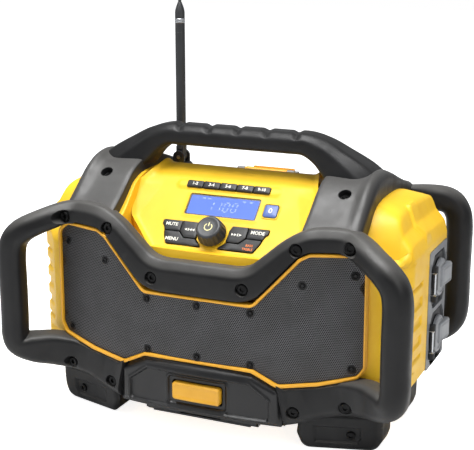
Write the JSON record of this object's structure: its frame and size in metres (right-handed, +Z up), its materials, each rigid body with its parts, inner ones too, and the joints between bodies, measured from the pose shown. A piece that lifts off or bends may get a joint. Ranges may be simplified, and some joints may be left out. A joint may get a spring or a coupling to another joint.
{
  "type": "jobsite radio",
  "caption": "Rugged portable radio: bowed grille with two loudspeakers, sloped control pod, rubber corner loops, carry handle, folding antenna, storage door and side sockets.",
  "frame": {"origin": "on the floor, under the middle of the radio", "axes": "+Z up, the front faces -Y, +X to the right of someone who faces the front"},
  "size_m": [0.4564, 0.2643, 0.4395],
  "materials": {
    "yellow_shell": "satin moulded ABS, warm yellow",
    "yellow_latch": "satin yellow",
    "frame_rubber": "fine grained black rubber",
    "dark_plastic": "matt charcoal",
    "grille_steel": "dark grey perforated sheet",
    "black_screws": "black oxide",
    "pin_steel": "bright",
    "speaker_basket": "black paint",
    "speaker_cone": "coated paper, dark grey",
    "terminal_brass": "bright contacts",
    "grey_plastic": "mid grey",
    "black_insert": "black",
    "cover_grey": "light grey",
    "transformer_iron": "lacquered core",
    "circuit_board": "green lacquer",
    "display_glass": "clear blue window",
    "display_module": "light grey",
    "key_rubber": "charcoal",
    "blue_key": "blue"
  },
  "bodies": {
    "radio": {"front_housing": "yellow_shell", "speaker_baffle": "yellow_shell", "rear_housing": "yellow_shell", "control_pod": "yellow_shell", "front_bumper_frame": "frame_rubber", "rear_bumper_frame": "frame_rubber", "carry_handle": "frame_rubber", "speaker_grille": "grille_steel", "grille_screws": "black_screws", "frame_screws": "black_screws", "foot_front_left": "frame_rubber", "foot_front_right": "frame_rubber", "foot_rear_left": "frame_rubber", "foot_rear_right": "frame_rubber", "woofer_left": "speaker_basket", "woofer_right": "speaker_basket", "cone_left": "speaker_cone", "cone_right": "speaker_cone", "storage_tray": "dark_plastic", "storage_door_pin": "pin_steel", "battery_tub": "dark_plastic", "battery_terminals": "terminal_brass", "battery_door_pin": "pin_steel", "battery_latch_bracket": "grey_plastic", "transformer": "transformer_iron", "power_board": "circuit_board", "cable_inlet": "dark_plastic", "socket_panel": "grey_plastic", "socket_inserts": "black_insert", "socket_cover_pins": "pin_steel", "antenna_socket": "grey_plastic", "lcd_window": "display_glass", "lcd_module": "display_module", "control_board": "circuit_board"},
    "storage_door": {"storage_door": "dark_plastic"},
    "storage_latch": {"storage_latch": "yellow_latch"},
    "battery_door": {"battery_door": "dark_plastic"},
    "battery_latch": {"battery_latch": "yellow_latch"},
    "cover_upper": {"socket_cover_upper": "cover_grey"},
    "cover_lower": {"socket_cover_lower": "cover_grey"},
    "antenna_base": {"antenna_knuckle": "dark_plastic", "antenna_pin": "pin_steel"},
    "antenna": {"antenna_mast": "frame_rubber", "antenna_ring": "pin_steel", "antenna_tip": "dark_plastic"},
    "knob": {"encoder_shaft": "pin_steel", "volume_knob": "dark_plastic"},
    "preset_1": {"preset_key_1": "key_rubber"},
    "preset_2": {"preset_key_2": "key_rubber"},
    "preset_3": {"preset_key_3": "key_rubber"},
    "preset_4": {"preset_key_4": "key_rubber"},
    "preset_5": {"preset_key_5": "key_rubber"},
    "source_button": {"source_key": "blue_key"},
    "mute_button": {"mute_key": "key_rubber"},
    "menu_button": {"menu_key": "key_rubber"},
    "previous_button": {"previous_key": "key_rubber"},
    "mode_button": {"mode_key": "key_rubber"},
    "tone_button": {"tone_key": "key_rubber"},
    "next_button": {"next_key": "key_rubber"}
  },
  "joints": [
    {"name": "storage_door_hinge", "type": "hinge", "parent": "radio", "child": "storage_door", "pos_m": [0, -0.093, 0.0204], "axis": [1, 0, 0], "range_deg": [0, 85]},
    {"name": "storage_latch_pivot", "type": "hinge", "parent": "storage_door", "child": "storage_latch", "pos_m": [0, -0.104, 0.043], "axis": [1, 0, 0], "range_deg": [0, 8], "stiffness_Nm_per_rad": 0.3},
    {"name": "battery_door_hinge", "type": "hinge", "parent": "radio", "child": "battery_door", "pos_m": [0, 0.096, 0.076], "axis": [-1, 0, 0], "range_deg": [0, 90]},
    {"name": "battery_latch_pivot", "type": "hinge", "parent": "radio", "child": "battery_latch", "pos_m": [0, 0.076, 0.2494], "axis": [1, 0, 0], "range_deg": [0, 60]},
    {"name": "cover_upper_hinge", "type": "hinge", "parent": "radio", "child": "cover_upper", "pos_m": [0.2149, 0.014, 0.16], "axis": [0, 0, -1], "range_deg": [0, 100], "stiffness_Nm_per_rad": 0.02},
    {"name": "cover_lower_hinge", "type": "hinge", "parent": "radio", "child": "cover_lower", "pos_m": [0.2149, 0.014, 0.097], "axis": [0, 0, -1], "range_deg": [0, 100], "stiffness_Nm_per_rad": 0.02},
    {"name": "antenna_swivel", "type": "hinge", "parent": "radio", "child": "antenna_base", "pos_m": [-0.0935, 0.05, 0.25], "axis": [0, 0, 1], "range_deg": [0, 90]},
    {"name": "antenna_fold", "type": "hinge", "parent": "antenna_base", "child": "antenna", "pos_m": [-0.0935, 0.05, 0.2635], "axis": [0, 1, 0], "range_deg": [0, 88]},
    {"name": "knob_turn", "type": "hinge", "parent": "radio", "child": "knob", "pos_m": [0, -0.06611, 0.20889], "axis": [0, -0.7071, 0.7071], "continuous": true},
    {"name": "preset_1_press", "type": "slide", "parent": "radio", "child": "preset_1", "axis": [0, 0.7071, -0.7071], "range_m": [0, 0.0012], "stiffness_N_per_m": 400},
    {"name": "preset_2_press", "type": "slide", "parent": "radio", "child": "preset_2", "axis": [0, 0.7071, -0.7071], "range_m": [0, 0.0012], "stiffness_N_per_m": 400},
    {"name": "preset_3_press", "type": "slide", "parent": "radio", "child": "preset_3", "axis": [0, 0.7071, -0.7071], "range_m": [0, 0.0012], "stiffness_N_per_m": 400},
    {"name": "preset_4_press", "type": "slide", "parent": "radio", "child": "preset_4", "axis": [0, 0.7071, -0.7071], "range_m": [0, 0.0012], "stiffness_N_per_m": 400},
    {"name": "preset_5_press", "type": "slide", "parent": "radio", "child": "preset_5", "axis": [0, 0.7071, -0.7071], "range_m": [0, 0.0012], "stiffness_N_per_m": 400},
    {"name": "source_button_press", "type": "slide", "parent": "radio", "child": "source_button", "axis": [0, 0.7071, -0.7071], "range_m": [0, 0.0012], "stiffness_N_per_m": 400},
    {"name": "mute_button_press", "type": "slide", "parent": "radio", "child": "mute_button", "axis": [0, 0.7071, -0.7071], "range_m": [0, 0.0012], "stiffness_N_per_m": 400},
    {"name": "menu_button_press", "type": "slide", "parent": "radio", "child": "menu_button", "axis": [0, 0.7071, -0.7071], "range_m": [0, 0.0012], "stiffness_N_per_m": 400},
    {"name": "previous_button_press", "type": "slide", "parent": "radio", "child": "previous_button", "axis": [0, 0.7071, -0.7071], "range_m": [0, 0.0012], "stiffness_N_per_m": 400},
    {"name": "mode_button_press", "type": "slide", "parent": "radio", "child": "mode_button", "axis": [0, 0.7071, -0.7071], "range_m": [0, 0.0012], "stiffness_N_per_m": 400},
    {"name": "tone_button_press", "type": "slide", "parent": "radio", "child": "tone_button", "axis": [0, 0.7071, -0.7071], "range_m": [0, 0.0012], "stiffness_N_per_m": 400},
    {"name": "next_button_press", "type": "slide", "parent": "radio", "child": "next_button", "axis": [0, 0.7071, -0.7071], "range_m": [0, 0.0012], "stiffness_N_per_m": 400}
  ]
}
